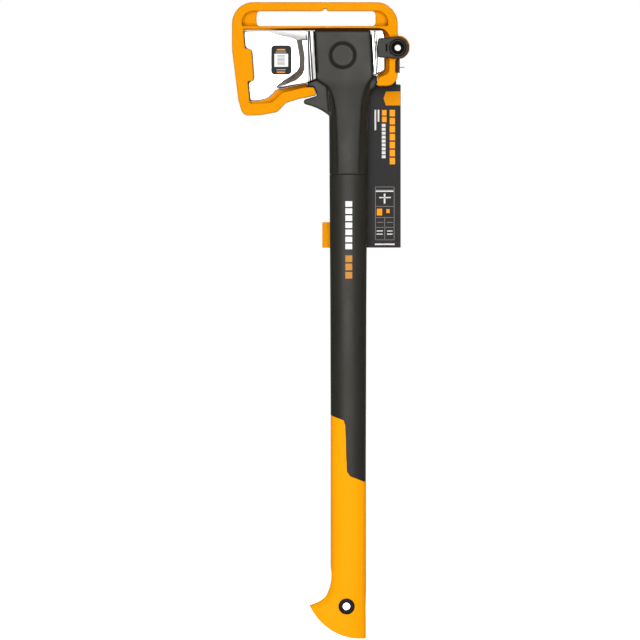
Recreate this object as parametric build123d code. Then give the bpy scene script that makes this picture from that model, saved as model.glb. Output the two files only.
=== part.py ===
from build123d import *
import math
import os

# Splitting axe carried in a moulded blade cover.
# Millimetres. +Z points up along the handle, the cutting edge faces -X, the poll faces +X, Y is thickness.
# The origin is the crown of the hanging notch under the cover's carry bar.

# ---- driving dimensions ----------------------------------------------------------------------------------
HANDLE_X = 28.0          # handle axis, measured from the hanging notch
TOP_Z = 7.3              # top of the carry bar
BUTT_Z = -762.4          # lowest point of the handle

EDGE_TOP_X = -105.0      # cutting edge at its upper corner
EDGE_BOTTOM_X = -96.5    # cutting edge at its lower corner
HEAD_TOP_Z = -27.6
EDGE_BOTTOM_Z = -112.6
CHEEK_HALF = 11.0        # half thickness where the thin cheek ends
SHOULDER_HALF = 19.0     # half thickness behind the splitting ramp
CHEEK_FRONT_HALF = 6.6   # half thickness where the cheek's edge bevel starts
SWELL_X = -21.0          # where the upper cheek's swell reaches the shoulder
RAMP_SINK = 3.5          # how far the ramp's foot starts inside the cheek
POLL_HALF = 19.5
POLL_FACE_X = 71.4
POLL_BOTTOM_Z = -80.4
NECK_HALF = 11.5         # steel inside the housing
HOUSING_HALF = 20.5
HOUSING_LEFT_X = -12.6
HOUSING_RIGHT_X = 57.0
HOUSING_TOP_Z = -27.0
HOUSING_BOTTOM_Z = -86.0
WING_HALF = 7.0          # half depth of the web that fills the corner under the poll
SEAM = 0.8               # open seam between the steel and the housing's two upright borders
SLANT_DEG = 3.2          # lean of the housing's two upright borders

PIN_X = 21.2
PIN_Z = -57.2
PIN_R = 6.0
CAP_R = 13.2
CAP_RING_R = 15.7
CAP_T = 3.0

BAND_TOP_Z = -79.0       # the raised band takes over from the housing's flat sides
FUNNEL_END_Z = -132.0    # where the housing's funnel has become the oval shaft
SHAFT_TOP_Z = -201.5     # joint between the housing moulding and the shaft
SHAFT_MID_Z = -353.0
SHAFT_LOW_Z = -600.0
SHAFT_TOP_W = 46.6
SHAFT_MID_W = 43.8
SHAFT_LOW_W = 42.2
SHAFT_TOP_D = 33.0
SHAFT_MID_D = 31.0
SHAFT_LOW_D = 29.0
SHAFT_WALL = 3.6
BUTT_W = 42.8
BUTT_HALF = 14.6
GRIP_PROUD = 0.4         # how far the soft grip stands off the shaft's surface
OVAL_POWER = 0.9         # 1 makes the handle section an ellipse, less makes it squarer
OVAL_STEPS = 32
CORE_TOP_Z = -140.0
CORE_BOTTOM_Z = -470.0

LANYARD_X = 25.8
LANYARD_Z = -723.4
LANYARD_R = 4.5
LANYARD_RING_R = 9.4

COVER_HALF = 20.0        # half depth of the cover over the poll
COVER_THIN_HALF = 13.5   # half depth over the cutting edge and on the carry bar
RIB_HALF = 7.5           # half depth of the ribs that the head rests against
POLL_RIB_HALF = 11.0
COVER_LEFT_X = -112.8
COVER_RIGHT_X = 87.7
RAIL_W = 10.4
CROSSBAR_BOTTOM_Z = -24.7
FOOT_BOTTOM_Z = -94.0
BAR_H = 10.6
GAP = 0.4                # running clearance between the cover and the axe

PIVOT_X = 87.7
PIVOT_Z = -48.2
LATCH_R = 13.4
LATCH_T = 4.2
TONGUE_X = 62.9
TONGUE_HALF = 11.4
LUG_R = 14.6
LUG_HALF = 11.0
BOSS_R = 9.3
SLOT_X = 74.1            # upright flex slot in the latch's tongue
RIVET_R = 5.6
RIVET_BORE_R = 3.8
RIVET_FLANGE_R = 7.6
RIVET_FLANGE_T = 1.2
RUNNING = 0.1            # radial running clearance of the latch on its rivet
LEAF_X = 87.4
LEAF_T = 2.7
LEAF_SEAT_X = 84.8       # floor of the rail's recess that the leaf stands in

CARD_LEFT_X = 14.0
CARD_RIGHT_X = 91.5
CARD_TOP_Z = -91.6
CARD_BOTTOM_Z = -289.4
CARD_Y = 23.2
CARD_T = 1.0
CARD_HOLE_X = 80.0
CARD_HOLE_Z = -84.0
CARD_HOLE_R = 2.2
HANGER_TOP_Z = -79.9
HANGER_W = 12.0
TIE_R = 0.6
TIE_Z = -71.3
TIE_Y = 8.0
TIE_FRONT_Y = 21.1
TIE_BACK_Y = 26.4

os.makedirs("parts", exist_ok=True)


# ---- helpers ---------------------------------------------------------------------------------------------
def side_face(points):
    """A face in the XZ plane from (x, z) points."""
    return make_face(Polyline([(x, 0, z) for x, z in points], close=True)).face()


def side_slab(points, y_from, y_to):
    """The XZ outline given a thickness from y_from to y_to."""
    face = side_face(points)
    return Pos(0, y_from, 0) * extrude(face, amount=y_to - y_from, dir=(0, 1, 0))


def box_between(x0, x1, y0, y1, z0, z1):
    centre = Pos((x0 + x1) / 2, (y0 + y1) / 2, (z0 + z1) / 2)
    return centre * Box(x1 - x0, y1 - y0, z1 - z0)


def y_rod(x, z, radius, y_from, y_to):
    """A cylinder lying along Y."""
    return Pos(x, (y_from + y_to) / 2, z) * Rot(90, 0, 0) * Cylinder(radius, y_to - y_from)


def x_rod(y, z, radius, x_from, x_to):
    return Pos((x_from + x_to) / 2, y, z) * Rot(0, 90, 0) * Cylinder(radius, x_to - x_from)


def z_rod(x, y, radius, z_from, z_to):
    return Pos(x, y, (z_from + z_to) / 2) * Cylinder(radius, z_to - z_from)


def write(part, node):
    export_step(part, f"parts/{node}.step")


def rounded(points, radius, corners=None):
    """An XZ outline whose corners are rounded; corners picks some of them by number."""
    face = side_face(points)
    found = []
    for number, (x, z) in enumerate(points):
        if corners is None or number in corners:
            found.append(face.vertices().sort_by_distance((x, 0, z))[0])
    return face.fillet_2d(radius, found)


def slab_of(face, y_from, y_to):
    return Pos(0, y_from, 0) * extrude(face, amount=y_to - y_from, dir=(0, 1, 0))


# ---- steel head ------------------------------------------------------------------------------------------
RAMP_CROWN = [
    (-28.2, -39.0), (-25.0, -58.0), (-25.0, -74.0), (-28.0, -81.0),
    (-35.0, -87.4), (-45.4, -91.6), (-56.0, -95.9),
]
RAMP_FOOT = [
    (-35.7, -39.0), (-32.5, -58.0), (-32.5, -70.0), (-35.4, -75.0),
    (-41.8, -80.6), (-50.0, -87.2), (-59.0, -95.6),
]


def blade_wedge(extra=0.0):
    """The thin blade seen from above, from the edge to the shoulder, leaning with the cutting edge.

    extra thickens it on every side, for the slot that the cover needs.
    """
    sections = []
    for z, shift in ((HEAD_TOP_Z + extra, 0.0), (EDGE_BOTTOM_Z - 6.0, EDGE_BOTTOM_X - EDGE_TOP_X)):
        x = EDGE_TOP_X + shift - extra * 2
        upper = [
            (x, 0.3 + extra),
            (x + 6.5 + extra * 2, 2.2 + extra),
            (EDGE_TOP_X + 36 + shift / 2, CHEEK_FRONT_HALF + extra),
            (-24.0, CHEEK_HALF + extra),
            (-8.0, CHEEK_HALF + extra),
        ]
        lower = [(px, -py) for px, py in reversed(upper)]
        wire = Polyline([(px, py, z) for px, py in upper + lower], close=True)
        sections.append(make_face(wire))
    return loft(sections, ruled=True)


def head_side():
    """The blade's outline from the side."""
    edge = ThreePointArc(
        (EDGE_TOP_X, 0, HEAD_TOP_Z),
        ((EDGE_TOP_X + EDGE_BOTTOM_X) / 2 - 2.4, 0, (HEAD_TOP_Z + EDGE_BOTTOM_Z) / 2),
        (EDGE_BOTTOM_X, 0, EDGE_BOTTOM_Z),
    )
    heel = Line((EDGE_BOTTOM_X, 0, EDGE_BOTTOM_Z), (-89.5, 0, -112.4))
    beard_points = [(-89.5, 0, -112.4), (-68.0, 0, -107.2), (-58.4, 0, -98.2)]
    beard = Spline(*beard_points, tangents=((1, 0, 0.1), (1, 0, 0.7)))
    under = Polyline((-58.4, 0, -98.2), (-22.4, 0, -90.3), (-8.0, 0, -84.6), (-8.0, 0, HEAD_TOP_Z))
    top = Line((-8.0, 0, HEAD_TOP_Z), (EDGE_TOP_X, 0, HEAD_TOP_Z))
    return make_face([edge, heel, beard, *under.edges(), top])


def shoulder_outline(ramp):
    """The thick part between the splitting ramp and the housing; ramp is the border on the ramp's side."""
    top = [(-8.0, HEAD_TOP_Z), (SWELL_X + 0.5, HEAD_TOP_Z), (SWELL_X + 0.5, ramp[0][1])]
    return [*ramp, (-22.4, -90.3), (-8.0, -84.6), *top]


def border_groove(x, half_width, half, sign):
    """A shallow V groove beside the housing, leaning with its border, on one face of the head."""
    mouth = sign * (half + 0.1)
    points = [(x - half_width, mouth), (x + half_width, mouth), (x, sign * (half - half_width))]
    profile = make_face(Polyline([(px, py, HEAD_TOP_Z + 1) for px, py in points], close=True))
    slant = math.radians(SLANT_DEG)
    length = HEAD_TOP_Z - HOUSING_BOTTOM_Z + 10
    return extrude(profile, amount=length, dir=(math.sin(slant), 0, -math.cos(slant)))


def cheek_half_at(x):
    """Half thickness of the cheek between the edge bevel and the shoulder."""
    front_x = EDGE_TOP_X + 36 + (EDGE_BOTTOM_X - EDGE_TOP_X) / 4
    return CHEEK_FRONT_HALF + (x - front_x) * (CHEEK_HALF - CHEEK_FRONT_HALF) / (-24.0 - front_x)


def upper_swell():
    """The upper cheek's gentle swell towards the shoulder; its lower border is the crease on the cheek."""
    sections = []
    for z, left_x, rise in ((HEAD_TOP_Z, -74.0, 0.0), (-35.9, -38.0, 1.6), (-39.2, -33.0, 1.6)):
        half = cheek_half_at(left_x) + rise
        points = [(left_x, half), (SWELL_X, SHOULDER_HALF), (SWELL_X, -SHOULDER_HALF), (left_x, -half)]
        sections.append(make_face(Polyline([(x, y, z) for x, y in points], close=True)))
    return loft(sections, ruled=True)


def poll_side():
    """The poll block from the side, behind the housing."""
    border = math.tan(math.radians(SLANT_DEG)) * (POLL_BOTTOM_Z - HEAD_TOP_Z)
    return rounded(
        [
            (HOUSING_RIGHT_X - 1.2, HEAD_TOP_Z),
            (POLL_FACE_X, HEAD_TOP_Z),
            (POLL_FACE_X, POLL_BOTTOM_Z + 5.6),
            (HOUSING_RIGHT_X + 4.4, POLL_BOTTOM_Z),
            (HOUSING_RIGHT_X - 1.2 - border, POLL_BOTTOM_Z),
        ],
        7.0,
        [1],
    )


def axe_head():
    blade = slab_of(head_side(), -30, 30) & blade_wedge()
    shoulders = []
    for sign in (-1, 1):
        foot = Pos(0, sign * (CHEEK_HALF - RAMP_SINK), 0) * side_face(shoulder_outline(RAMP_FOOT))
        crown = Pos(0, sign * SHOULDER_HALF, 0) * side_face(shoulder_outline(RAMP_CROWN))
        shoulders.append(loft([foot, crown], ruled=True))
        centre = side_slab(shoulder_outline(RAMP_CROWN), -SHOULDER_HALF + 1, SHOULDER_HALF - 1)
        shoulders.append(centre)
    neck_left = -14.0
    neck = side_slab(
        [
            (neck_left, HEAD_TOP_Z - 4.5),
            (HOUSING_RIGHT_X + 3, HEAD_TOP_Z - 4.5),
            (HOUSING_RIGHT_X + 3, POLL_BOTTOM_Z + 4),
            (neck_left, POLL_BOTTOM_Z + 1),
        ],
        -NECK_HALF,
        NECK_HALF,
    )
    poll = slab_of(poll_side(), -POLL_HALF, POLL_HALF)
    cuts = []
    for sign in (-1, 1):
        cuts.append(border_groove(-20.0, 2.0, SHOULDER_HALF, sign))
        cuts.append(border_groove(60.2, 1.5, POLL_HALF, sign))
    body = blade + shoulders + upper_swell() + neck + poll
    body = body - head_housing_space() - y_rod(PIN_X, PIN_Z, PIN_R, -30, 30)
    return body - cuts


def head_housing_space():
    """The space in front of and behind the steel neck that the housing fills, cut out of the head."""
    outline = housing_outline()
    front = side_slab(outline, -HOUSING_HALF - 4, -NECK_HALF)
    back = side_slab(outline, NECK_HALF, HOUSING_HALF + 4)
    above = side_slab(
        [
            (HOUSING_LEFT_X, HEAD_TOP_Z + 6),
            (HOUSING_RIGHT_X - 1.2, HEAD_TOP_Z + 6),
            (HOUSING_RIGHT_X - 1.2, HEAD_TOP_Z - 4.5),
            (HOUSING_LEFT_X, HEAD_TOP_Z - 4.5),
        ],
        -HOUSING_HALF - 4,
        HOUSING_HALF + 4,
    )
    return [front, back, above]


# ---- handle ----------------------------------------------------------------------------------------------
def housing_outline(inset=0.0):
    """The black housing over the head, from the side: two leaning borders, moved in by inset."""
    lean = math.tan(math.radians(SLANT_DEG)) * (HOUSING_TOP_Z - HOUSING_BOTTOM_Z)
    left, right = HOUSING_LEFT_X - 1.2 + inset, HOUSING_RIGHT_X - 1.4 - inset
    return [
        (left, HOUSING_TOP_Z),
        (right, HOUSING_TOP_Z),
        (right + lean, HOUSING_BOTTOM_Z + 6),
        (right - 2.0 + lean, HOUSING_BOTTOM_Z),
        (-3.0, HOUSING_BOTTOM_Z - 3.6),
        (left + lean, HOUSING_BOTTOM_Z + 0.6),
    ]


def shaft_section(z, width, depth, inset=0.0, centre=HANDLE_X):
    """The oval handle section at one height."""
    half_width, half_depth = width / 2 - inset, depth / 2 - inset
    points = []
    for step in range(OVAL_STEPS):
        turn = math.tau * step / OVAL_STEPS
        across = math.copysign(abs(math.cos(turn)) ** OVAL_POWER, math.cos(turn))
        through = math.copysign(abs(math.sin(turn)) ** OVAL_POWER, math.sin(turn))
        points.append((centre + half_width * across, half_depth * through, z))
    return make_face(Spline(points, periodic=True))


def shaft_loft(inset, z_top, z_bottom):
    """The tapering oval shaft between two heights, inset all round for the inside."""
    heights = [z_top]
    for z in (SHAFT_MID_Z, SHAFT_LOW_Z):
        if z_bottom < z < z_top:
            heights.append(z)
    heights.append(z_bottom)
    return loft([shaft_section(z, *shaft_size(z), inset) for z in heights], ruled=True)


def shaft_size(z):
    """Width and depth of the shaft at a height, straight tapers between the three stations."""
    if z >= SHAFT_MID_Z:
        share = (FUNNEL_END_Z - z) / (FUNNEL_END_Z - SHAFT_MID_Z)
        width = SHAFT_TOP_W + (SHAFT_MID_W - SHAFT_TOP_W) * share
        depth = SHAFT_TOP_D + (SHAFT_MID_D - SHAFT_TOP_D) * share
        return width, depth
    share = min(1.0, (SHAFT_MID_Z - z) / (SHAFT_MID_Z - SHAFT_LOW_Z))
    width = SHAFT_MID_W + (SHAFT_LOW_W - SHAFT_MID_W) * share
    depth = SHAFT_MID_D + (SHAFT_LOW_D - SHAFT_MID_D) * share
    return width, depth


def band_section(z, left, right, half, bow):
    """One level of the raised band: straight flanks, front and back bowed outwards."""
    middle = (left + right) / 2
    front = ThreePointArc((left, bow - half, z), (middle, -half, z), (right, bow - half, z))
    back = ThreePointArc((right, half - bow, z), (middle, half, z), (left, half - bow, z))
    flanks = [Line(front @ 1, back @ 0), Line(back @ 1, front @ 0)]
    return make_face([front, flanks[0], back, flanks[1]])


def raised_band():
    """The band that runs from the housing down the neck, front and back, narrowing as it goes."""
    levels = (
        (BAND_TOP_Z, -11.2, HOUSING_RIGHT_X + 0.6, HOUSING_HALF, 0.02),
        (-82.0, -10.8, HOUSING_RIGHT_X + 0.6, HOUSING_HALF, 0.02),
        (-85.4, -10.4, 56.2, HOUSING_HALF, 0.06),
        (-88.6, -6.6, 53.2, HOUSING_HALF - 0.1, 0.18),
        (-91.6, -1.6, 51.3, 20.2, 0.35),
        (-95.0, 2.8, 49.5, 19.9, 0.55),
        (-99.0, 5.9, 47.9, 19.5, 0.75),
        (-104.0, 8.1, 46.4, 19.1, 0.95),
        (-111.0, 10.1, 45.0, 18.6, 1.15),
        (-120.0, 11.7, 44.0, 18.1, 1.3),
        (-135.0, 13.2, 43.2, 17.7, 1.45),
        (-165.0, 14.2, 42.0, 17.2, 1.5),
        (SHAFT_TOP_Z - 1, 14.8, 40.8, 16.9, 1.5),
    )
    return loft([band_section(*level) for level in levels], ruled=True)


def head_housing(head):
    """Housing moulded round the steel neck, its funnel down to the shaft, and the striking guard."""
    block = side_slab(housing_outline(SEAM), -HOUSING_HALF, HOUSING_HALF)
    upright = block.edges().filter_by(Axis.Y, reverse=True)
    outer = upright.filter_by(lambda edge: abs(abs(edge.center().Y) - HOUSING_HALF) < 0.01)
    outer = outer.filter_by(lambda edge: edge.center().Z > HOUSING_BOTTOM_Z + 4)
    block = chamfer(outer, 1.6)
    wide_x = (HOUSING_LEFT_X + HOUSING_RIGHT_X) / 2 + 1.8
    stations = (
        (HOUSING_BOTTOM_Z + 1.0, 68.0, 30.0, wide_x),
        (-90.0, 62.8, 30.4, wide_x + 1.2),
        (-96.0, 57.4, 31.0, HANDLE_X - 1.0),
        (-103.0, 52.6, 31.6, HANDLE_X - 0.3),
        (-112.0, 49.0, 32.2, HANDLE_X),
        (FUNNEL_END_Z, *shaft_size(FUNNEL_END_Z), HANDLE_X),
    )
    sections = [shaft_section(z, width, depth, 0.0, centre) for z, width, depth, centre in stations]
    sections.append(shaft_section(SHAFT_TOP_Z - 1, *shaft_size(SHAFT_TOP_Z)))
    funnel = loft(sections, ruled=True) + raised_band()
    funnel = funnel & box_between(-40, 80, -30, 30, SHAFT_TOP_Z, HOUSING_TOP_Z)
    guard_top = HOUSING_BOTTOM_Z - 0.5
    guard = slab_of(
        make_face(
            [
                Line((12.0, 0, guard_top), (-21.7, 0, guard_top)),
                Line((-21.7, 0, guard_top), (-21.7, 0, -95.5)),
                Line((-21.7, 0, -95.5), (-14.1, 0, -95.3)),
                Line((-14.1, 0, -95.3), (-10.2, 0, -105.0)),
                Line((-10.2, 0, -105.0), (-9.9, 0, -105.8)),
                Line((-9.9, 0, -105.8), (-24.6, 0, -110.4)),
                ThreePointArc((-24.6, 0, -110.4), (-26.0, 0, -113.6), (-23.0, 0, -116.4)),
                ThreePointArc((-23.0, 0, -116.4), (-8.6, 0, -121.4), (4.9, 0, -130.0)),
                Line((4.9, 0, -130.0), (12.0, 0, -132.0)),
                Line((12.0, 0, -132.0), (12.0, 0, guard_top)),
            ]
        ),
        -9.5,
        9.5,
    )
    rib = side_slab([(2.4, -96.0), (4.2, -96.0), (6.4, -124.0), (4.6, -124.0)], -11.4, 11.4)
    wing = side_slab(
        [(50.0, -80.9), (62.75, -81.3), (62.75, -91.0), (57.0, -98.5), (50.0, -98.5)],
        -WING_HALF,
        WING_HALF,
    )
    block = block & box_between(-40, 80, -30, 30, BAND_TOP_Z - 1, HOUSING_TOP_Z + 1)
    body = block + funnel + guard + rib + wing
    socket = loft(
        [
            shaft_section(FUNNEL_END_Z, *shaft_size(FUNNEL_END_Z), SHAFT_WALL),
            shaft_section(-100.0, *shaft_size(FUNNEL_END_Z), SHAFT_WALL + 2.0),
        ],
        ruled=True,
    )
    bore = shaft_loft(SHAFT_WALL, FUNNEL_END_Z, SHAFT_TOP_Z - 1)
    body = body - head - socket - bore - y_rod(PIN_X, PIN_Z, PIN_R, -30, 30)
    for sign in (-1, 1):
        y0, y1 = sorted((sign * (HOUSING_HALF - CAP_T), sign * (HOUSING_HALF + 1)))
        body = body - y_rod(PIN_X, PIN_Z, CAP_RING_R, y0, y1)
    return body


def two_tone_line(reach):
    """The stepped border between the black shaft and the orange grip, closed below by reach."""
    return [
        (HANDLE_X - 60, -488.6),
        (7.0, -492.4),
        (22.6, -498.2),
        (24.6, -505.0),
        (26.4, -560.0),
        (30.0, -565.6),
        (47.4, -572.6),
        (HANDLE_X + 60, -573.4),
        (HANDLE_X + 60, reach),
        (HANDLE_X - 60, reach),
    ]


def handle_shaft():
    """Hollow black shaft with its lower end cut to the stepped border."""
    outside = shaft_loft(0.0, SHAFT_TOP_Z, SHAFT_LOW_Z)
    inside = shaft_loft(SHAFT_WALL, SHAFT_TOP_Z, SHAFT_LOW_Z)
    keep = outside - inside
    return keep - side_slab(two_tone_line(-700), -40, 40)


def grip_tube():
    """Inner tube of the grip: it fills the shaft's bore behind the stepped border and carries the grip."""
    top = -455.0
    outside = shaft_loft(SHAFT_WALL, top, -640.0)
    inside = shaft_loft(SHAFT_WALL + 2.6, top + 1, -641.0)
    return outside - inside


def grip_side():
    """The grip's outline from the side, with the hooked butt."""
    left_low = HANDLE_X - BUTT_W / 2
    right = HANDLE_X + BUTT_W / 2
    return make_face(
        [
            Line((left_low, 0, -480), (left_low, 0, -676)),
            ThreePointArc((left_low, 0, -676), (4.6, 0, -703), (0.6, 0, -711.4)),
            ThreePointArc((0.6, 0, -711.4), (-8.0, 0, -717.6), (-19.4, 0, -721.6)),
            ThreePointArc((-19.4, 0, -721.6), (2.4, 0, -749.0), (right, 0, BUTT_Z)),
            Line((right, 0, BUTT_Z), (right, 0, -480)),
            Line((right, 0, -480), (left_low, 0, -480)),
        ]
    )


def grip_body():
    """The full grip solid, before it is divided: the oval column, and the butt that widens into the hook."""
    left, right = HANDLE_X - BUTT_W / 2, HANDLE_X + BUTT_W / 2
    levels = (
        (-660.0, left),
        (-674.0, left),
        (-686.0, left - 0.6),
        (-694.0, left - 1.6),
        (-700.0, left - 2.8),
        (-705.0, left - 4.4),
        (-709.0, left - 6.6),
        (-712.0, left - 9.4),
        (-715.0, left - 13.0),
        (-717.6, left - 17.2),
        (-720.0, left - 21.8),
        (-722.4, left - 27.0),
        (-732.0, left - 29.0),
        (BUTT_Z - 6, left - 29.6),
    )
    sections = [shaft_section(-470.0, *shaft_size(-470.0), -GRIP_PROUD)]
    for z, start in levels:
        sections.append(shaft_section(z, right - start, 2 * BUTT_HALF + 0.6, 0.0, (start + right) / 2))
    return loft(sections, ruled=True) & slab_of(grip_side(), -30, 30)


def lower_grip():
    """Orange soft-touch grip over the tube, from the stepped border to the butt."""
    body = grip_body() & side_slab(two_tone_line(-800), -40, 40)
    bore = shaft_loft(SHAFT_WALL, -470.0, -700.0)
    body = body - bore
    body = body - y_rod(LANYARD_X, LANYARD_Z, LANYARD_RING_R, -30, 30)
    return body


def butt_plug():
    """Closes the lower end of the bore under the grip tube."""
    return shaft_loft(SHAFT_WALL, -640.0, -700.0) - shaft_loft(SHAFT_WALL + 5.0, -639.0, -680.0)


def lanyard_bush():
    outer_half = BUTT_HALF + 0.4
    bush = y_rod(LANYARD_X, LANYARD_Z, LANYARD_RING_R, -outer_half, outer_half)
    ends = bush.edges().filter_by(GeomType.CIRCLE)
    bush = fillet(ends, 1.2)
    return bush - y_rod(LANYARD_X, LANYARD_Z, LANYARD_R, -30, 30)


def foam_core():
    return shaft_loft(SHAFT_WALL, CORE_TOP_Z, -454.9)


def head_lock_pin():
    return y_rod(PIN_X, PIN_Z, PIN_R, -HOUSING_HALF + CAP_T, HOUSING_HALF - CAP_T)


def pin_cap(sign):
    """Flat cap that closes one end of the cross pin."""
    y0, y1 = sorted((sign * (HOUSING_HALF - CAP_T), sign * HOUSING_HALF))
    cap = y_rod(PIN_X, PIN_Z, CAP_R, y0, y1)
    rim = cap.edges().filter_by(GeomType.CIRCLE).sort_by(Axis.Y)
    return chamfer(rim[-1] if sign > 0 else rim[0], 0.6)


def pin_ring(sign):
    """Sealing ring round the cap, sunk below the surface."""
    y0, y1 = sorted((sign * (HOUSING_HALF - CAP_T), sign * (HOUSING_HALF - 0.9)))
    ring = y_rod(PIN_X, PIN_Z, CAP_RING_R, y0, y1)
    return ring - y_rod(PIN_X, PIN_Z, CAP_R, -30, 30)


# ---- labels on the blade ---------------------------------------------------------------------------------
LABEL_X = -53.1
LABEL_Z = -62.6
LABEL_W = 24.6
LABEL_H = 35.2
LABEL_T = 0.3


def cheek_plane():
    """The plane of the front cheek under the label."""
    slope = math.degrees(math.atan2(cheek_half_at(LABEL_X + 1) - cheek_half_at(LABEL_X), 1))
    y = -cheek_half_at(LABEL_X)
    return Pos(LABEL_X, y - 0.5, LABEL_Z) * Rot(0, 0, -slope) * Rot(90, 0, 0)


def blade_label():
    plate = extrude(RectangleRounded(LABEL_W, LABEL_H, 4.4), amount=LABEL_T)
    return cheek_plane() * plate


def label_panel():
    plate = extrude(RectangleRounded(16.6, 15.8, 0.4), amount=LABEL_T / 2)
    return cheek_plane() * Pos(0, -0.4, LABEL_T) * plate


# ---- blade cover -----------------------------------------------------------------------------------------
def cover_outline():
    """The cover's outer border, from the side, with round corners."""
    points = [
        (COVER_LEFT_X, TOP_Z),
        (COVER_RIGHT_X, TOP_Z),
        (COVER_RIGHT_X, FOOT_BOTTOM_Z),
        (62.8, FOOT_BOTTOM_Z),
        (62.8, -40.0),
        (-10.0, -40.0),
        (-15.4, -92.6),
        (-10.6, -105.0),
        (-33.0, -109.8),
        (-47.6, -114.4),
        (-58.0, -125.4),
        (-78.4, -129.2),
        (-99.6, -129.8),
        (-105.0, -112.0),
        (COVER_LEFT_X, -50.0),
    ]
    face = side_face(points)
    for (x, z), radius in (
        ((COVER_LEFT_X, TOP_Z), 26.0),
        ((COVER_RIGHT_X, TOP_Z), 26.0),
        ((COVER_RIGHT_X, FOOT_BOTTOM_Z), 14.0),
        ((-99.6, -129.8), 9.0),
        ((-58.0, -125.4), 8.0),
        ((-47.6, -114.4), 8.0),
        ((-15.4, -92.6), 3.0),
        ((COVER_LEFT_X, -50.0), 60.0),
    ):
        corner = face.vertices().sort_by_distance((x, 0, z))[0]
        face = face.fillet_2d(radius, [corner])
    return face


def cover_depth():
    """The cover gets thinner over the cutting edge and towards the carry bar."""
    thin, deep = COVER_THIN_HALF, COVER_HALF
    plan_points = [
        (-130, -thin), (-100, -thin), (20, -deep), (130, -deep),
        (130, deep), (20, deep), (-100, thin), (-130, thin),
    ]
    plan = make_face(Polyline([(x, y, -140) for x, y in plan_points], close=True))
    from_above = extrude(plan, amount=160, dir=(0, 0, 1))
    end_points = [
        (-thin, 12), (-thin, 0), (-deep, -32), (-deep, -135),
        (deep, -135), (deep, -32), (thin, 0), (thin, 12),
    ]
    end = make_face(Polyline([(-130, y, z) for y, z in end_points], close=True))
    from_end = extrude(end, amount=260, dir=(1, 0, 0))
    return from_above & from_end


def head_window():
    """The opening that the head lies in."""
    points = [
        (COVER_LEFT_X + 13.6, CROSSBAR_BOTTOM_Z),
        (COVER_RIGHT_X - RAIL_W, CROSSBAR_BOTTOM_Z),
        (COVER_RIGHT_X - RAIL_W, -79.0),
        (65.6, -83.4),
        (62.0, -88.6),
        (58.0, -150.0),
        (0.0, -150.0),
        (0.0, -95.3),
        (-26.0, -95.9),
        (-52.5, -102.1),
        (-64.4, -114.0),
        (-91.4, -115.2),
    ]
    face = side_face(points)
    for (x, z), radius in (
        ((COVER_RIGHT_X - RAIL_W, CROSSBAR_BOTTOM_Z), 12.0),
        ((COVER_RIGHT_X - RAIL_W, -79.0), 8.0),
        ((-52.5, -102.1), 6.0),
        ((-64.4, -114.0), 6.0),
    ):
        corner = face.vertices().sort_by_distance((x, 0, z))[0]
        face = face.fillet_2d(radius, [corner])
    return slab_of(face, -40, 40)


def carry_window():
    """The hand opening under the carry bar, with the deeper-set webs in its two upper corners."""
    bottom = -21.6
    top = TOP_Z - BAR_H
    hand = rounded([(-82.9, top), (60.9, top), (60.9, bottom), (-82.9, bottom)], 4.5)
    opening = slab_of(hand, -40, 40)
    wide = [
        (COVER_LEFT_X + 12.2, top),
        (COVER_RIGHT_X - 11.8, top),
        (COVER_RIGHT_X - 11.8, bottom),
        (COVER_LEFT_X + 12.2, bottom),
    ]
    recess = rounded(wide, 14.0, [0, 1])
    pockets = [slab_of(recess, -40, -7.0), slab_of(recess, 7.0, 40)]
    return [opening, *pockets]


BEARD_RIB = [
    (-96.0, -120.0), (-96.0, -108.0), (-70.0, -104.0), (-60.0, -95.0), (-26.0, -84.0),
    (-21.8, -90.5), (-21.8, -97.0), (-52.0, -106.0), (-64.0, -118.0),
]
POLL_RIB = [
    (70.0, -24.0), (82.0, -24.0), (82.0, -84.0), (64.4, -86.0), (62.9, -84.5), (62.9, -80.0), (70.0, -74.0),
]
EDGE_LIP = [(-106.0, -49.1), (-89.2, -49.1), (-86.5, -88.0), (-100.0, -88.0)]


def head_clearance():
    """The head's side outlines, right through, each moved by the gap towards the cover around it."""
    blade = slab_of(head_side(), -40, 40)
    poll = slab_of(poll_side(), -40, 40)
    blades = [Pos(x, 0, z) * blade for x, z in ((0, 0), (-GAP, 0), (0, -GAP), (GAP, -GAP), (0, GAP))]
    polls = [Pos(x, 0, z) * poll for x, z in ((0, 0), (GAP, 0), (0, -GAP), (GAP, -GAP), (0, GAP))]
    return blades, polls


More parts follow.
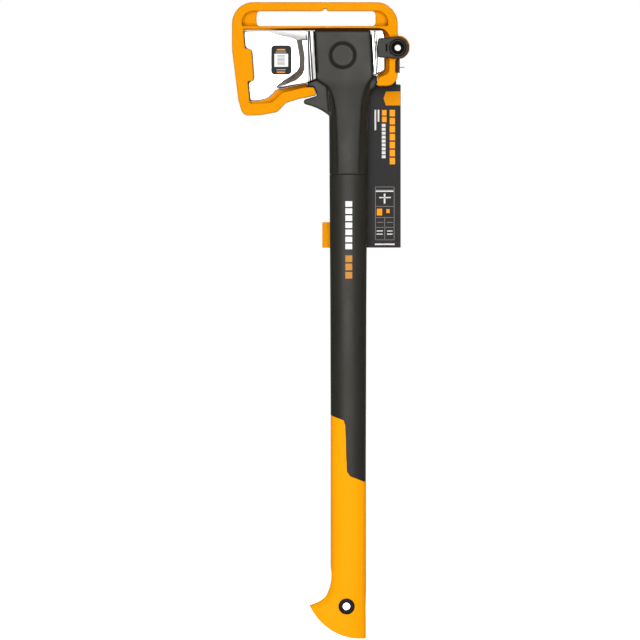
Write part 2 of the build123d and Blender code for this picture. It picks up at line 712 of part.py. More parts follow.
def cover_frame():
    """One moulding: carry bar, rails, lower arm, poll foot, edge lips, latch lug and poll stop."""
    rim = slab_of(cover_outline(), -COVER_HALF - 1, COVER_HALF + 1)
    rim = rim - head_window()
    rim = rim - carry_window()
    lip = slab_of(rounded(EDGE_LIP, 2.4), -COVER_HALF, COVER_HALF)
    beard_rib = side_slab(BEARD_RIB, -RIB_HALF, RIB_HALF)
    poll_rib = side_slab(POLL_RIB, -POLL_RIB_HALF, POLL_RIB_HALF)
    crown_rib = box_between(COVER_LEFT_X + 6, 70.0, -RIB_HALF, RIB_HALF, -26.6, -24.0)
    blades, polls = head_clearance()
    body = (rim + lip + crown_rib + (beard_rib - blades) + (poll_rib - polls)) & cover_depth()
    lug = y_rod(PIVOT_X, PIVOT_Z + 0.8, LUG_R, -COVER_HALF, -COVER_HALF + LUG_HALF)
    stop = side_slab([(62.9, -38.0), (84.0, -38.0), (84.0, -59.0), (62.9, -59.0)], POLL_HALF + GAP, 22.6)
    body = body + lug + stop
    body = body - [blade_wedge(GAP) & blade for blade in blades]
    body = body - y_rod(0.0, -2.4, 2.4, -40, 40) - box_between(-2.4, 2.4, -40, 40, -5.4, -2.4)
    body = body - y_rod(PIVOT_X, PIVOT_Z, RIVET_R, -40, 40)
    body = body - y_rod(PIVOT_X, PIVOT_Z, RIVET_FLANGE_R + 0.4, -COVER_HALF + LUG_HALF - 1.6, 40)
    body = body - box_between(LEAF_SEAT_X, 95.0, -COVER_HALF - 1, -6.0, -78.3, -62.6)
    body = body - box_between(LEAF_X - 0.3, 90.4, -COVER_HALF - 1, -6.0, -66.0, -58.1)
    body = body - x_rod(TIE_Y, TIE_Z, TIE_R + 0.3, CARD_HOLE_X - 0.6, 95.0)
    body = body - y_rod(CARD_HOLE_X, TIE_Z, TIE_R + 0.3, TIE_Y - 0.6, 40.0)
    return body


# ---- latch -----------------------------------------------------------------------------------------------
def latch():
    """Turn-button latch: a tongue over the poll and a round end on the hollow rivet."""
    back = -COVER_HALF - 0.4
    front = back - LATCH_T
    dz = 0.6
    tongue = side_slab(
        [
            (TONGUE_X + 1.0, PIVOT_Z + TONGUE_HALF),
            (PIVOT_X, PIVOT_Z + LATCH_R - dz),
            (PIVOT_X, PIVOT_Z - LATCH_R + dz),
            (TONGUE_X + 1.0, PIVOT_Z - TONGUE_HALF),
            (TONGUE_X, PIVOT_Z),
        ],
        front,
        back,
    )
    body = tongue + y_rod(PIVOT_X, PIVOT_Z, LATCH_R, front, back)
    front_edges = body.edges().filter_by(lambda edge: abs(edge.center().Y - front) < 0.01)
    body = chamfer(front_edges, 0.9)
    body = body + y_rod(PIVOT_X, PIVOT_Z, BOSS_R, front - 0.6, back)
    body = body - y_rod(PIVOT_X, PIVOT_Z, RIVET_R + RUNNING, -40, 0)
    body = body - y_rod(PIVOT_X, PIVOT_Z, RIVET_FLANGE_R + 0.4, front - 1, front + RIVET_FLANGE_T + 0.3)
    ring = y_rod(PIVOT_X, PIVOT_Z, BOSS_R + 1.1, front - 1, front + 1.0)
    ring = ring - y_rod(PIVOT_X, PIVOT_Z, BOSS_R, front - 2, front + 2)
    slot = box_between(SLOT_X - 1.0, SLOT_X + 1.0, front - 1, front + 2.0, PIVOT_Z - 4.4, PIVOT_Z + 4.4)
    return body - ring - slot


def latch_rivet():
    """Hollow rivet that the latch turns on; its bore goes through latch and lug."""
    latch_front = -COVER_HALF - 0.4 - LATCH_T
    seat = latch_front + RIVET_FLANGE_T + 0.3
    lug_back = -COVER_HALF + LUG_HALF - 1.6
    stem = y_rod(PIVOT_X, PIVOT_Z, RIVET_R, seat - RIVET_FLANGE_T, lug_back + RIVET_FLANGE_T)
    head = y_rod(PIVOT_X, PIVOT_Z, RIVET_FLANGE_R, seat - RIVET_FLANGE_T - 0.1, seat - 0.1)
    tail = y_rod(PIVOT_X, PIVOT_Z, RIVET_FLANGE_R, lug_back, lug_back + RIVET_FLANGE_T)
    return stem + head + tail - y_rod(PIVOT_X, PIVOT_Z, RIVET_BORE_R, -40, 0)


def latch_detent_leaf():
    """Spring leaf set in the rail's side; its upper end rubs on the latch's rim from behind."""
    leaf = box_between(LEAF_X, LEAF_X + LEAF_T, -COVER_HALF + 0.1, -7.0, -77.7, -58.5)
    foot = box_between(LEAF_SEAT_X, LEAF_X + LEAF_T, -COVER_HALF + 0.1, -7.0, -78.3, -76.7)
    return leaf + foot


# ---- hang tag --------------------------------------------------------------------------------------------
def tag_card():
    left_x, right_x = CARD_HOLE_X - HANGER_W / 2, CARD_HOLE_X + HANGER_W / 2
    face = rounded(
        [
            (CARD_LEFT_X, CARD_TOP_Z),
            (left_x, CARD_TOP_Z),
            (left_x, HANGER_TOP_Z),
            (right_x, HANGER_TOP_Z),
            (right_x, CARD_TOP_Z),
            (CARD_RIGHT_X, CARD_TOP_Z),
            (CARD_RIGHT_X, CARD_BOTTOM_Z),
            (CARD_LEFT_X, CARD_BOTTOM_Z),
        ],
        1.2,
    )
    card = slab_of(face, CARD_Y, CARD_Y + CARD_T)
    return card - y_rod(CARD_HOLE_X, CARD_HOLE_Z, CARD_HOLE_R, CARD_Y - 1, CARD_Y + CARD_T + 1)


def tag_tab():
    """Folded orange tab glued behind the card and showing past the handle."""
    face = rounded([(-3.6, -258.4), (30.0, -258.4), (30.0, -289.6), (-3.6, -289.6)], 1.2)
    return slab_of(face, CARD_Y + CARD_T, CARD_Y + CARD_T + 0.8)


def tag_badge():
    """Orange badge stuck on the card's front near its upper edge."""
    face = side_face([(CARD_RIGHT_X - 0.5, -100.1), (73.6, -100.1), (70.8, -108.5), (73.6, -117.0),
                      (CARD_RIGHT_X - 0.5, -117.0)])
    return slab_of(face, CARD_Y - 0.3, CARD_Y)


def tag_tie():
    """Plastic loop through the rail, over the card's hanger and through its hole, barbed at both ends."""
    barb = x_rod(TIE_Y, TIE_Z, TIE_R, CARD_HOLE_X, 96.1)
    across = y_rod(CARD_HOLE_X, TIE_Z, TIE_R, TIE_Y, TIE_BACK_Y)
    drop = z_rod(CARD_HOLE_X, TIE_BACK_Y, TIE_R, CARD_HOLE_Z, TIE_Z)
    through = y_rod(CARD_HOLE_X, CARD_HOLE_Z, TIE_R, TIE_FRONT_Y, TIE_BACK_Y)
    front_barb = x_rod(TIE_FRONT_Y, CARD_HOLE_Z, TIE_R, CARD_HOLE_X - 4, CARD_HOLE_X + 4)
    corners = [
        Pos(CARD_HOLE_X, y, z) * Sphere(TIE_R)
        for y, z in ((TIE_Y, TIE_Z), (TIE_BACK_Y, TIE_Z), (TIE_BACK_Y, CARD_HOLE_Z))
    ]
    return barb + across + drop + through + front_barb + corners


head_steel = axe_head()
write(head_steel, "axe_head")
write(head_housing(head_steel), "head_housing")
write(head_lock_pin(), "head_lock_pin")
write(pin_cap(-1), "pin_cap_front")
write(pin_cap(1), "pin_cap_back")
write(pin_ring(-1), "pin_ring_front")
write(pin_ring(1), "pin_ring_back")
write(handle_shaft(), "handle_shaft")
write(foam_core(), "foam_core")
write(grip_tube(), "grip_tube")
write(lower_grip(), "lower_grip")
write(butt_plug(), "butt_plug")
write(lanyard_bush(), "lanyard_bush")
write(blade_label(), "blade_label")
write(label_panel(), "label_panel")
write(cover_frame(), "cover_frame")
write(latch(), "latch")
write(latch_rivet(), "latch_rivet")
write(latch_detent_leaf(), "latch_detent_leaf")
write(tag_card(), "tag_card")
write(tag_tab(), "tag_tab")
write(tag_badge(), "tag_badge")
write(tag_tie(), "tag_tie")
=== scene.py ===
import math

import bmesh
import bpy
from bpy.props import FloatProperty, FloatVectorProperty, PointerProperty
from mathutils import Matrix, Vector
from mathutils.bvhtree import BVHTree


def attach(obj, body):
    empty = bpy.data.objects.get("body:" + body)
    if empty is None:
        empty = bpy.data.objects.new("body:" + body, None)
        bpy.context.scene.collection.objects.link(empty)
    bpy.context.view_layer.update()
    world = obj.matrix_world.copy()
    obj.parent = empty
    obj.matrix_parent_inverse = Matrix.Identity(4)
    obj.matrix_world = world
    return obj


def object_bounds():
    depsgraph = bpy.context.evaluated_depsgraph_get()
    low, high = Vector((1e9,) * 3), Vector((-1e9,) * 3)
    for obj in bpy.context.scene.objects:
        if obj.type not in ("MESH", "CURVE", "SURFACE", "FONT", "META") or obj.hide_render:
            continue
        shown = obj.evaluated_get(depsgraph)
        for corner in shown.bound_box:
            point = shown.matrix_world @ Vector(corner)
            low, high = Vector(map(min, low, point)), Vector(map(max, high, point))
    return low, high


bl_info = {
    "name": "Splitting axe in a carry cover",
    "version": (1, 0, 0),
    "blender": (4, 5, 0),
    "location": "View3D > Sidebar > Splitting axe",
    "description": "Finishes the covered splitting axe: head, hollow handle, grip, cover, latch and tag",
    "category": "Object",
}

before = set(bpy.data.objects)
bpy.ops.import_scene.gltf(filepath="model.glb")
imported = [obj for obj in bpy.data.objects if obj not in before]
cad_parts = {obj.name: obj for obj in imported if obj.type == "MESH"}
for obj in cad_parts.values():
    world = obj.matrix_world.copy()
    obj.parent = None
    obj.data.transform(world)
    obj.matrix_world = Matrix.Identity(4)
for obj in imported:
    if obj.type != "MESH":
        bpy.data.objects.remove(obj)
CAD_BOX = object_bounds()
MM = 0.001


# ---- sizes and colours a user would change -----------------------------------------------------------------
class FinishColours(bpy.types.PropertyGroup):
    """Base colours of the finishes"""

    orange: FloatVectorProperty(
        name="Cover orange", description="Moulded nylon of the cover", subtype="COLOR",
        size=3, min=0.0, max=1.0, default=(0.66, 0.24, 0.0015))
    grip_orange: FloatVectorProperty(
        name="Grip orange", description="Soft-touch skin of the grip", subtype="COLOR",
        size=3, min=0.0, max=1.0, default=(0.88, 0.318, 0.0015))
    black: FloatVectorProperty(
        name="Handle black", description="Glass-filled nylon of housing and shaft", subtype="COLOR",
        size=3, min=0.0, max=1.0, default=(0.0175, 0.0165, 0.0125))
    steel: FloatVectorProperty(
        name="Head steel", description="Polished steel of the head", subtype="COLOR",
        size=3, min=0.0, max=1.0, default=(0.86, 0.86, 0.85))
    card: FloatVectorProperty(
        name="Card black", description="Coated card of the hang tag", subtype="COLOR",
        size=3, min=0.0, max=1.0, default=(0.012, 0.0105, 0.0105))


class StageSizes(bpy.types.PropertyGroup):
    """Floor, light and camera"""

    floor_gap: FloatProperty(
        name="Floor gap", description="Height of the butt above the floor", unit="LENGTH",
        default=0.03, min=0.0)
    camera_distance: FloatProperty(
        name="Camera distance", description="From the middle of the axe to the lens", unit="LENGTH",
        default=14.0, min=1.0)
    aim_x: FloatProperty(
        name="Aim across", description="Where the lens looks along X", unit="LENGTH", default=-0.0063)
    aim_z: FloatProperty(
        name="Aim height", description="Where the lens looks along Z", unit="LENGTH", default=-0.3771)
    light: FloatProperty(
        name="Studio light", description="Strength of the white surroundings", default=1.0, min=0.0)
    view_height: FloatProperty(
        name="View height", description="Height that the picture takes in", unit="LENGTH",
        default=0.7744, min=0.1)


# ---- node helpers ------------------------------------------------------------------------------------------
def new_material(name):
    """An empty node material and its Principled shader."""
    material = bpy.data.materials.new(name)
    material.use_nodes = True
    nodes = material.node_tree.nodes
    nodes.clear()
    out = nodes.new("ShaderNodeOutputMaterial")
    shader = nodes.new("ShaderNodeBsdfPrincipled")
    material.node_tree.links.new(shader.outputs["BSDF"], out.inputs["Surface"])
    return material, shader


def join(tree, source, target):
    tree.links.new(source, target)


def math_node(tree, operation, first, second=None):
    """A math node fed by sockets or plain numbers; returns its output."""
    node = tree.nodes.new("ShaderNodeMath")
    node.operation = operation
    for socket, value in zip(node.inputs, (first, second)):
        if value is None:
            continue
        if isinstance(value, (int, float)):
            socket.default_value = value
        else:
            tree.links.new(value, socket)
    return node.outputs[0]


def ramp(tree, value, low, high, to_low=0.0, to_high=1.0):
    """Maps low..high to to_low..to_high and holds the ends."""
    node = tree.nodes.new("ShaderNodeMapRange")
    node.inputs["From Min"].default_value = low
    node.inputs["From Max"].default_value = high
    node.inputs["To Min"].default_value = to_low
    node.inputs["To Max"].default_value = to_high
    tree.links.new(value, node.inputs["Value"])
    return node.outputs["Result"]


def mix_colour(tree, share, first, second):
    """Mixes two colours, each a tuple or a socket, by a share that is a number or a socket."""
    node = tree.nodes.new("ShaderNodeMix")
    node.data_type = "RGBA"
    colour_inputs = [s for s in node.inputs if s.type == "RGBA"]
    for socket, value in zip(colour_inputs, (first, second)):
        if isinstance(value, tuple):
            socket.default_value = value if len(value) == 4 else (*value, 1.0)
        else:
            tree.links.new(value, socket)
    if isinstance(share, (int, float)):
        node.inputs["Factor"].default_value = share
    else:
        tree.links.new(share, node.inputs["Factor"])
    return [s for s in node.outputs if s.type == "RGBA"][0]


def noise_value(tree, vector, scale, detail=3.0, roughness=0.5):
    node = tree.nodes.new("ShaderNodeTexNoise")
    node.inputs["Detail"].default_value = detail
    node.inputs["Roughness"].default_value = roughness
    if isinstance(scale, (int, float)):
        node.inputs["Scale"].default_value = scale
    else:
        tree.links.new(scale, node.inputs["Scale"])
    tree.links.new(vector, node.inputs["Vector"])
    return node.outputs["Fac"]


def object_place(tree, stretch=(1.0, 1.0, 1.0)):
    """Place on the part in metres, stretched per axis."""
    place = tree.nodes.new("ShaderNodeTexCoord")
    scale = tree.nodes.new("ShaderNodeVectorMath")
    scale.operation = "MULTIPLY"
    scale.inputs[1].default_value = stretch
    tree.links.new(place.outputs["Object"], scale.inputs[0])
    return scale.outputs[0]


def start_group(name, inputs, outputs):
    """A shader node group with float inputs (name, default) and outputs (name, socket type)."""
    group = bpy.data.node_groups.new(name, "ShaderNodeTree")
    for label, default in inputs:
        socket = group.interface.new_socket(label, in_out="INPUT", socket_type="NodeSocketFloat")
        socket.default_value = default
    for label, kind in outputs:
        group.interface.new_socket(label, in_out="OUTPUT", socket_type=kind)
    source = group.nodes.new("NodeGroupInput")
    target = group.nodes.new("NodeGroupOutput")
    return group, source, target


def place_group(tree, group, **values):
    node = tree.nodes.new("ShaderNodeGroup")
    node.node_tree = group
    for label, value in values.items():
        node.inputs[label.replace("_", " ")].default_value = value
    return node


def bump_normal(tree, height, strength, distance):
    node = tree.nodes.new("ShaderNodeBump")
    node.inputs["Strength"].default_value = strength
    node.inputs["Distance"].default_value = distance
    tree.links.new(height, node.inputs["Height"])
    return node.outputs["Normal"]


# ---- shared effects ----------------------------------------------------------------------------------------
def edge_wear_group():
    """Mask that is 1 on outer edges, broken up by noise."""
    group, source, target = start_group(
        "edge_wear", [("Radius", 0.0012), ("Break up", 900.0), ("Reach", 0.25)],
        [("Mask", "NodeSocketFloat")])
    bevel = group.nodes.new("ShaderNodeBevel")
    bevel.samples = 6
    group.links.new(source.outputs["Radius"], bevel.inputs["Radius"])
    geometry = group.nodes.new("ShaderNodeNewGeometry")
    dot = group.nodes.new("ShaderNodeVectorMath")
    dot.operation = "DOT_PRODUCT"
    group.links.new(bevel.outputs["Normal"], dot.inputs[0])
    group.links.new(geometry.outputs["Normal"], dot.inputs[1])
    bend = math_node(group, "SUBTRACT", 1.0, dot.outputs["Value"])
    outward = ramp(group, geometry.outputs["Pointiness"], 0.49, 0.53)
    grain = noise_value(group, object_place(group), source.outputs["Break up"], 4.0, 0.6)
    broken = ramp(group, grain, 0.35, 0.65)
    share = math_node(group, "DIVIDE", bend, source.outputs["Reach"])
    share = math_node(group, "MINIMUM", share, 1.0)
    share = math_node(group, "MULTIPLY", share, outward)
    share = math_node(group, "MULTIPLY", share, broken)
    group.links.new(share, target.inputs["Mask"])
    return group


def mould_grain_group():
    """Fine spark-eroded texture of moulded plastic with slow flow marks."""
    group, source, target = start_group(
        "mould_grain", [("Grain", 2600.0), ("Flow", 28.0)],
        [("Height", "NodeSocketFloat"), ("Flow mask", "NodeSocketFloat")])
    place = object_place(group)
    fine = noise_value(group, place, source.outputs["Grain"], 3.0, 0.65)
    cells = group.nodes.new("ShaderNodeTexVoronoi")
    cells.feature = "SMOOTH_F1"
    group.links.new(place, cells.inputs["Vector"])
    group.links.new(source.outputs["Grain"], cells.inputs["Scale"])
    both = math_node(group, "ADD", fine, cells.outputs["Distance"])
    slow = noise_value(group, object_place(group, (1.0, 1.0, 0.35)), source.outputs["Flow"], 4.0, 0.55)
    group.links.new(both, target.inputs["Height"])
    group.links.new(ramp(group, slow, 0.3, 0.7), target.inputs["Flow mask"])
    return group


def painted_corner_shade_group():
    """Mask for painted shade that is 1 deep in corners, slots and under ledges."""
    group, source, target = start_group(
        "painted_corner_shade", [("Reach", 0.008), ("Start", 0.35), ("Full", 0.8)], [("Mask", "NodeSocketFloat")])
    open_sky = group.nodes.new("ShaderNodeAmbientOcclusion")
    open_sky.samples = 8
    group.links.new(source.outputs["Reach"], open_sky.inputs["Distance"])
    hidden = math_node(group, "SUBTRACT", 1.0, open_sky.outputs["AO"])
    span = math_node(group, "SUBTRACT", source.outputs["Full"], source.outputs["Start"])
    share = math_node(group, "DIVIDE", math_node(group, "SUBTRACT", hidden, source.outputs["Start"]), span)
    share = math_node(group, "MINIMUM", math_node(group, "MAXIMUM", share, 0.0), 1.0)
    group.links.new(share, target.inputs["Mask"])
    return group


def handling_marks_group():
    """Sparse smudges and short fine scratches."""
    group, source, target = start_group(
        "handling_marks", [("Smudge", 18.0), ("Scratch", 160.0)],
        [("Smudges", "NodeSocketFloat"), ("Scratches", "NodeSocketFloat")])
    smudge = noise_value(group, object_place(group), source.outputs["Smudge"], 5.0, 0.6)
    thin = noise_value(group, object_place(group, (1.0, 1.0, 14.0)), source.outputs["Scratch"], 2.0, 0.5)
    where = noise_value(group, object_place(group), 60.0, 2.0, 0.5)
    lines = math_node(group, "MULTIPLY", ramp(group, thin, 0.66, 0.72), ramp(group, where, 0.5, 0.62))
    group.links.new(ramp(group, smudge, 0.42, 0.68), target.inputs["Smudges"])
    group.links.new(lines, target.inputs["Scratches"])
    return group


GROUPS = {}


def shared(name):
    """Builds each shared effect once."""
    makers = {
        "edge_wear": edge_wear_group,
        "mould_grain": mould_grain_group,
        "marks": handling_marks_group,
        "painted_corner_shade": painted_corner_shade_group,
    }
    if name not in GROUPS:
        GROUPS[name] = makers[name]()
    return GROUPS[name]


# ---- finishes ----------------------------------------------------------------------------------------------
def lighter(colour, factor):
    """The colour times factor, held at white."""
    return tuple(min(1.0, c * factor) for c in colour)


WORN_EDGE = 1.5  # how much paler a worn edge of moulded plastic is


def moulded_plastic(name, colour, roughness, bump=0.12, flow=0.1, specular=0.5, deep=(0.35, 0.28, 0.2),
                    reach=0.008, start=0.35, full=0.8):
    """Moulded plastic: grain, flow marks, smudged gloss, paler edges and painted shade in corners.

    deep is what is left of the colour where shade is painted into a corner; reach, start and full say what
    counts as one.
    """
    material, shader = new_material(name)
    tree = material.node_tree
    grain = place_group(tree, shared("mould_grain"))
    marks = place_group(tree, shared("marks"))
    wear = place_group(tree, shared("edge_wear"), Radius=0.0009, Reach=0.2)
    colour = tuple(colour)
    dim, bright = lighter(colour, 1.0 - flow), lighter(colour, 1.0 + flow)
    flowed = mix_colour(tree, grain.outputs["Flow mask"], dim, bright)
    worn_share = math_node(tree, "MULTIPLY", wear.outputs["Mask"], 0.45)
    base = mix_colour(tree, worn_share, flowed, lighter(colour, WORN_EDGE))
    # Painted shade: the colour darkens deep in corners, slots and under ledges, and the roughness rises
    # there.
    corner = place_group(tree, shared("painted_corner_shade"), Reach=reach, Start=start, Full=full)
    dark = tuple(c * d for c, d in zip(colour, deep))
    base = mix_colour(tree, corner.outputs["Mask"], base, dark)
    join(tree, base, shader.inputs["Base Color"])
    gloss = ramp(tree, marks.outputs["Smudges"], 0.0, 1.0, roughness + 0.05, roughness - 0.06)
    dull = math_node(tree, "MULTIPLY", corner.outputs["Mask"], 0.6)
    rough = math_node(tree, "MINIMUM", math_node(tree, "ADD", gloss, dull), 1.0)
    join(tree, rough, shader.inputs["Roughness"])
    join(tree, bump_normal(tree, grain.outputs["Height"], bump, 0.00018), shader.inputs["Normal"])
    shader.inputs["Specular IOR Level"].default_value = specular
    return material


# Places on the head, in metres, where painted shade turns the steel grey.
RAMP_TOP_Z = (-0.0378, -0.0392)   # the splitting ramp's grey starts between these heights
GROOVES_X = (-0.0238, -0.0232)    # the grooves' grey starts between these places
GROOVE_MIDDLE_X = -0.0203
GROOVE_FLOOR_HALF = (0.0014, 0.0008)
BORDER_MIDDLE_X = -0.0136
BORDER_HALF = (0.0026, 0.002)
RAMP_PAINTED_SHADE = (0.34, 0.335, 0.33)
GROOVE_PAINTED_SHADE = (0.14, 0.138, 0.135)


def band(tree, x, middle, half):
    """Mask of an upright strip: 0 at half[0] from its middle, 1 from half[1] inwards."""
    return ramp(tree, math_node(tree, "ABSOLUTE", math_node(tree, "SUBTRACT", x, middle)), *half)


def painted_shade_masks(tree):
    """Masks of painted shade on the splitting ramp's slope and on the grooves by the housing.

    Slopes are found by how the surface faces. The groove's floor and the strip along the housing's border
    have no slope of their own, so they are tinted by place.
    """
    place = tree.nodes.new("ShaderNodeTexCoord")
    turned = tree.nodes.new("ShaderNodeSeparateXYZ")
    join(tree, place.outputs["Normal"], turned.inputs[0])
    where = tree.nodes.new("ShaderNodeSeparateXYZ")
    join(tree, place.outputs["Object"], where.inputs[0])
    x, z = where.outputs["X"], where.outputs["Z"]
    facing = math_node(tree, "ABSOLUTE", turned.outputs["Y"])
    splitting_ramp = math_node(tree, "MULTIPLY", ramp(tree, facing, 0.955, 0.9), ramp(tree, z, *RAMP_TOP_Z))
    slopes = math_node(tree, "MULTIPLY", ramp(tree, facing, 0.99, 0.945), ramp(tree, x, *GROOVES_X))
    strips = math_node(tree, "MAXIMUM", band(tree, x, GROOVE_MIDDLE_X, GROOVE_FLOOR_HALF),
                       band(tree, x, BORDER_MIDDLE_X, BORDER_HALF))
    return splitting_ramp, math_node(tree, "MAXIMUM", slopes, strips)


def polished_steel(name, colour, roughness=0.4):
    """Ground and satin-polished steel: fine lines along the grind, faint clouds, brighter edges, and painted
    shade on slopes, grooves and in corners.
    """
    material, shader = new_material(name)
    tree = material.node_tree
    lines = noise_value(tree, object_place(tree, (14.0, 14.0, 900.0)), 4.0, 6.0, 0.7)
    cloud = noise_value(tree, object_place(tree), 55.0, 4.0, 0.55)
    marks = place_group(tree, shared("marks"), Smudge=30.0)
    wear = place_group(tree, shared("edge_wear"), Radius=0.0012)
    colour = tuple(colour)
    shade = mix_colour(tree, ramp(tree, cloud, 0.35, 0.65), lighter(colour, 0.97), colour)
    shade = mix_colour(tree, ramp(tree, lines, 0.35, 0.7, 0.0, 0.2), shade, lighter(colour, 0.9))
    shade = mix_colour(tree, wear.outputs["Mask"], shade, (0.95, 0.95, 0.95))
    # Painted shade: slopes that face away from the front, the groove floor and the strip by the housing turn
    # grey.
    splitting_ramp, grooves = painted_shade_masks(tree)
    shade = mix_colour(tree, splitting_ramp, shade, RAMP_PAINTED_SHADE)
    shade = mix_colour(tree, grooves, shade, GROOVE_PAINTED_SHADE)
    # Painted shade: the steel turns near black deep in corners, slots and along walls.
    corner = place_group(tree, shared("painted_corner_shade"), Reach=0.004, Start=0.15, Full=0.5)
    shade = mix_colour(tree, corner.outputs["Mask"], shade, (0.012, 0.012, 0.012))
    join(tree, shade, shader.inputs["Base Color"])
    gloss = math_node(tree, "ADD", ramp(tree, lines, 0.3, 0.7, roughness - 0.05, roughness + 0.08),
                      math_node(tree, "MULTIPLY", marks.outputs["Smudges"], 0.05))
    join(tree, gloss, shader.inputs["Roughness"])
    join(tree, bump_normal(tree, lines, 0.05, 0.00006), shader.inputs["Normal"])
    shader.inputs["Metallic"].default_value = 1.0
    return material


def gloss_plastic(name, colour, roughness=0.25, specular=0.06):
    """Small smooth mouldings and printed film."""
    material, shader = new_material(name)
    tree = material.node_tree
    marks = place_group(tree, shared("marks"), Smudge=90.0)
    wear = place_group(tree, shared("edge_wear"), Radius=0.0004)
    colour = tuple(colour)
    worn_share = math_node(tree, "MULTIPLY", wear.outputs["Mask"], 0.4)
    base = mix_colour(tree, worn_share, colour, lighter(colour, 1.8))
    join(tree, base, shader.inputs["Base Color"])
    gloss = ramp(tree, marks.outputs["Smudges"], 0.0, 1.0, roughness + 0.1, roughness)
    join(tree, gloss, shader.inputs["Roughness"])
    fine = noise_value(tree, object_place(tree), 1800.0, 2.0, 0.5)
    join(tree, bump_normal(tree, fine, 0.04, 0.0001), shader.inputs["Normal"])
    shader.inputs["Specular IOR Level"].default_value = specular
    return material


def coated_card(name, colour, roughness=0.42, specular=0.08):
    """Printed card: fibre ripple under a thin coat, pale worn edges."""
    material, shader = new_material(name)
    tree = material.node_tree
    fibre = noise_value(tree, object_place(tree, (1.0, 1.0, 0.4)), 1500.0, 4.0, 0.7)
    ripple = noise_value(tree, object_place(tree), 22.0, 2.0, 0.5)
    wear = place_group(tree, shared("edge_wear"), Radius=0.0006)
    colour = tuple(colour)
    base = mix_colour(tree, ramp(tree, ripple, 0.3, 0.7), lighter(colour, 0.9), lighter(colour, 1.15))
    base = mix_colour(tree, math_node(tree, "MULTIPLY", wear.outputs["Mask"], 0.5), base, (0.25, 0.22, 0.2))
    join(tree, base, shader.inputs["Base Color"])
    join(tree, ramp(tree, fibre, 0.3, 0.7, roughness - 0.05, roughness + 0.08), shader.inputs["Roughness"])
    both = math_node(tree, "ADD", fibre, math_node(tree, "MULTIPLY", ripple, 3.0))
    join(tree, bump_normal(tree, both, 0.1, 0.0003), shader.inputs["Normal"])
    shader.inputs["Specular IOR Level"].default_value = specular
    return material


# ---- mesh helpers ------------------------------------------------------------------------------------------
def paint(node, material):
    """Gives a CAD node its finish in every slot."""
    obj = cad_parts[node]
    obj.data.materials.clear()
    obj.data.materials.append(material)
    return obj


def join_faces(obj):
    """Joins the faces of a CAD node along their shared borders, so that modifiers see whole edges."""
    if "join_faces" not in obj.modifiers:
        weld = obj.modifiers.new("join_faces", "WELD")
        weld.merge_threshold = 0.005 * MM


SHARP_FROM = math.radians(28.0)  # edges that turn by less than this stay as they are


def soften(obj, width):
    """Rounds the hard edges of a piece and shades it smoothly."""
    join_faces(obj)
    bevel = obj.modifiers.new("soft_edges", "BEVEL")
    bevel.width = width
    bevel.segments = 3
    bevel.limit_method = "ANGLE"
    bevel.angle_limit = SHARP_FROM
    bevel.use_clamp_overlap = False
    bevel.miter_outer = "MITER_ARC"
    bevel.harden_normals = False
    normals = obj.modifiers.new("even_shading", "WEIGHTED_NORMAL")
    normals.keep_sharp = True
    for face in obj.data.polygons:
        face.use_smooth = True


def even_skin(obj, cell, passes):
    """Rebuilds a large moulding or forging as an even skin and relaxes it, which rounds every edge."""
    join_faces(obj)
    skin = obj.modifiers.new("even_skin", "REMESH")
    skin.mode = "VOXEL"
    skin.voxel_size = cell
    skin.use_smooth_shade = True
    relax = obj.modifiers.new("relaxed_edges", "SMOOTH")
    relax.factor = 0.5
    relax.iterations = passes


def outline(x0, x1, z0, z1, width):
    """Four strips that make a frame."""
    return [
        (x0, x1, z0, z0 - width),
        (x0, x1, z1 + width, z1),
        (x0, x0 + width, z0, z1),
        (x1 - width, x1, z0, z1),
    ]


def dashes(x0, x1, z0, z1, count, gap):
    """A column of equal blocks from z0 down to z1."""
    pitch = (z0 - z1 + gap) / count
    return [(x0, x1, z0 - i * pitch, z0 - (i + 1) * pitch + gap) for i in range(count)]


CARD_AMBER = [
    *dashes(78.2, 84.6, -122.4, -188.4, 7, 1.8),
    *dashes(68.8, 74.4, -122.6, -137.2, 2, 1.4),
    (62.6, 69.0, -242.2, -250.4),
    (74.2, 78.0, -242.8, -247.4),
]
CARD_WHITE = [
    *dashes(68.6, 73.2, -139.4, -181.0, 9, 1.2),
    (63.6, 65.6, -122.4, -136.8),
    (59.8, 61.8, -122.4, -147.0),
    (61.4, 82.6, -220.2, -221.8),
    (60.2, 84.0, -284.4, -286.2),
    (65.4, 79.4, -228.0, -229.4),
    (71.0, 73.0, -224.0, -236.0),
    (62.2, 69.8, -268.6, -269.8),
    (62.2, 69.8, -272.4, -273.6),
    (75.0, 81.6, -268.6, -269.8),
    (75.0, 81.6, -272.4, -273.6),
]
CARD_GREY = [
    *outline(60.4, 84.0, -215.4, -280.4, 0.9),
    (61.3, 83.1, -219.0, -219.6),
    (61.3, 83.1, -239.0, -239.9),
    (61.3, 83.1, -252.4, -253.3),
    (61.3, 83.1, -264.4, -265.3),
    (71.6, 72.5, -253.3, -279.6),
    (62.6, 70.6, -258.2, -259.2),
    (74.4, 82.0, -258.2, -259.2),
]


def colours():
    """The colours set in the sidebar."""
    return bpy.context.scene.axe_colours


